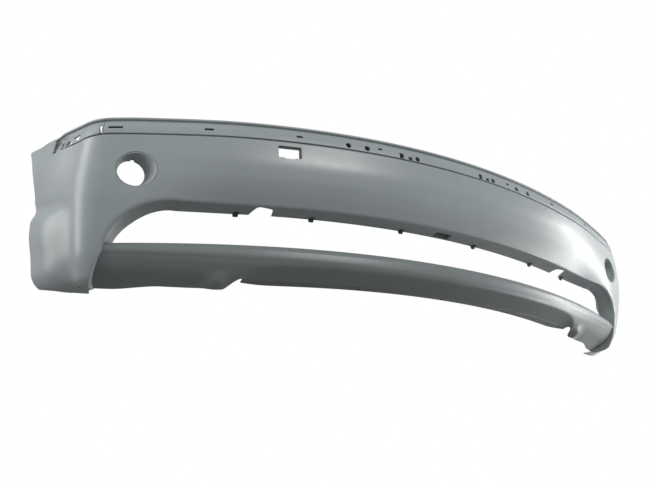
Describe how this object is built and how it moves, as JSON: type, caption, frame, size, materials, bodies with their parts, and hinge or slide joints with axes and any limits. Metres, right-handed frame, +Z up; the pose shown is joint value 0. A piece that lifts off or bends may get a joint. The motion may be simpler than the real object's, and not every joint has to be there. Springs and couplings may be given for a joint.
{
  "type": "front bumper cover",
  "caption": "Curved front bumper cover with a wide grille opening, a scooped lower bar, round fog-lamp recesses and a drilled top channel.",
  "frame": {"origin": "middle of the underside of the bounding box, on the plane the corners stand on", "axes": "+X to the right seen from the front, along the width; the front faces -Y; +Z up"},
  "size_m": [1.5956, 0.3168, 0.3435],
  "materials": {
    "skin": "satin grey primer, smooth",
    "moulding": "satin grey, very fine grain",
    "bar": "satin darker grey, very fine grain",
    "dark_trim": "matt dark grey",
    "steel": "zinc plated"
  },
  "bodies": {
    "root": {"corner_nut_left_1": "steel", "corner_nut_left_2": "steel", "corner_nut_right_1": "steel", "corner_nut_right_2": "steel", "end_rail_left": "moulding", "end_rail_right": "moulding", "front_skin": "skin", "grille_hook_left_1": "dark_trim", "grille_hook_left_2": "dark_trim", "grille_hook_left_3": "dark_trim", "grille_hook_right_1": "dark_trim", "grille_hook_right_2": "dark_trim", "grille_hook_right_3": "dark_trim", "lamp_cup_left": "moulding", "lamp_cup_right": "moulding", "lower_bar": "bar", "lower_strip": "dark_trim", "rail_rivet_left": "steel", "rail_rivet_right": "steel", "upper_channel": "moulding"}
  },
  "joints": []
}
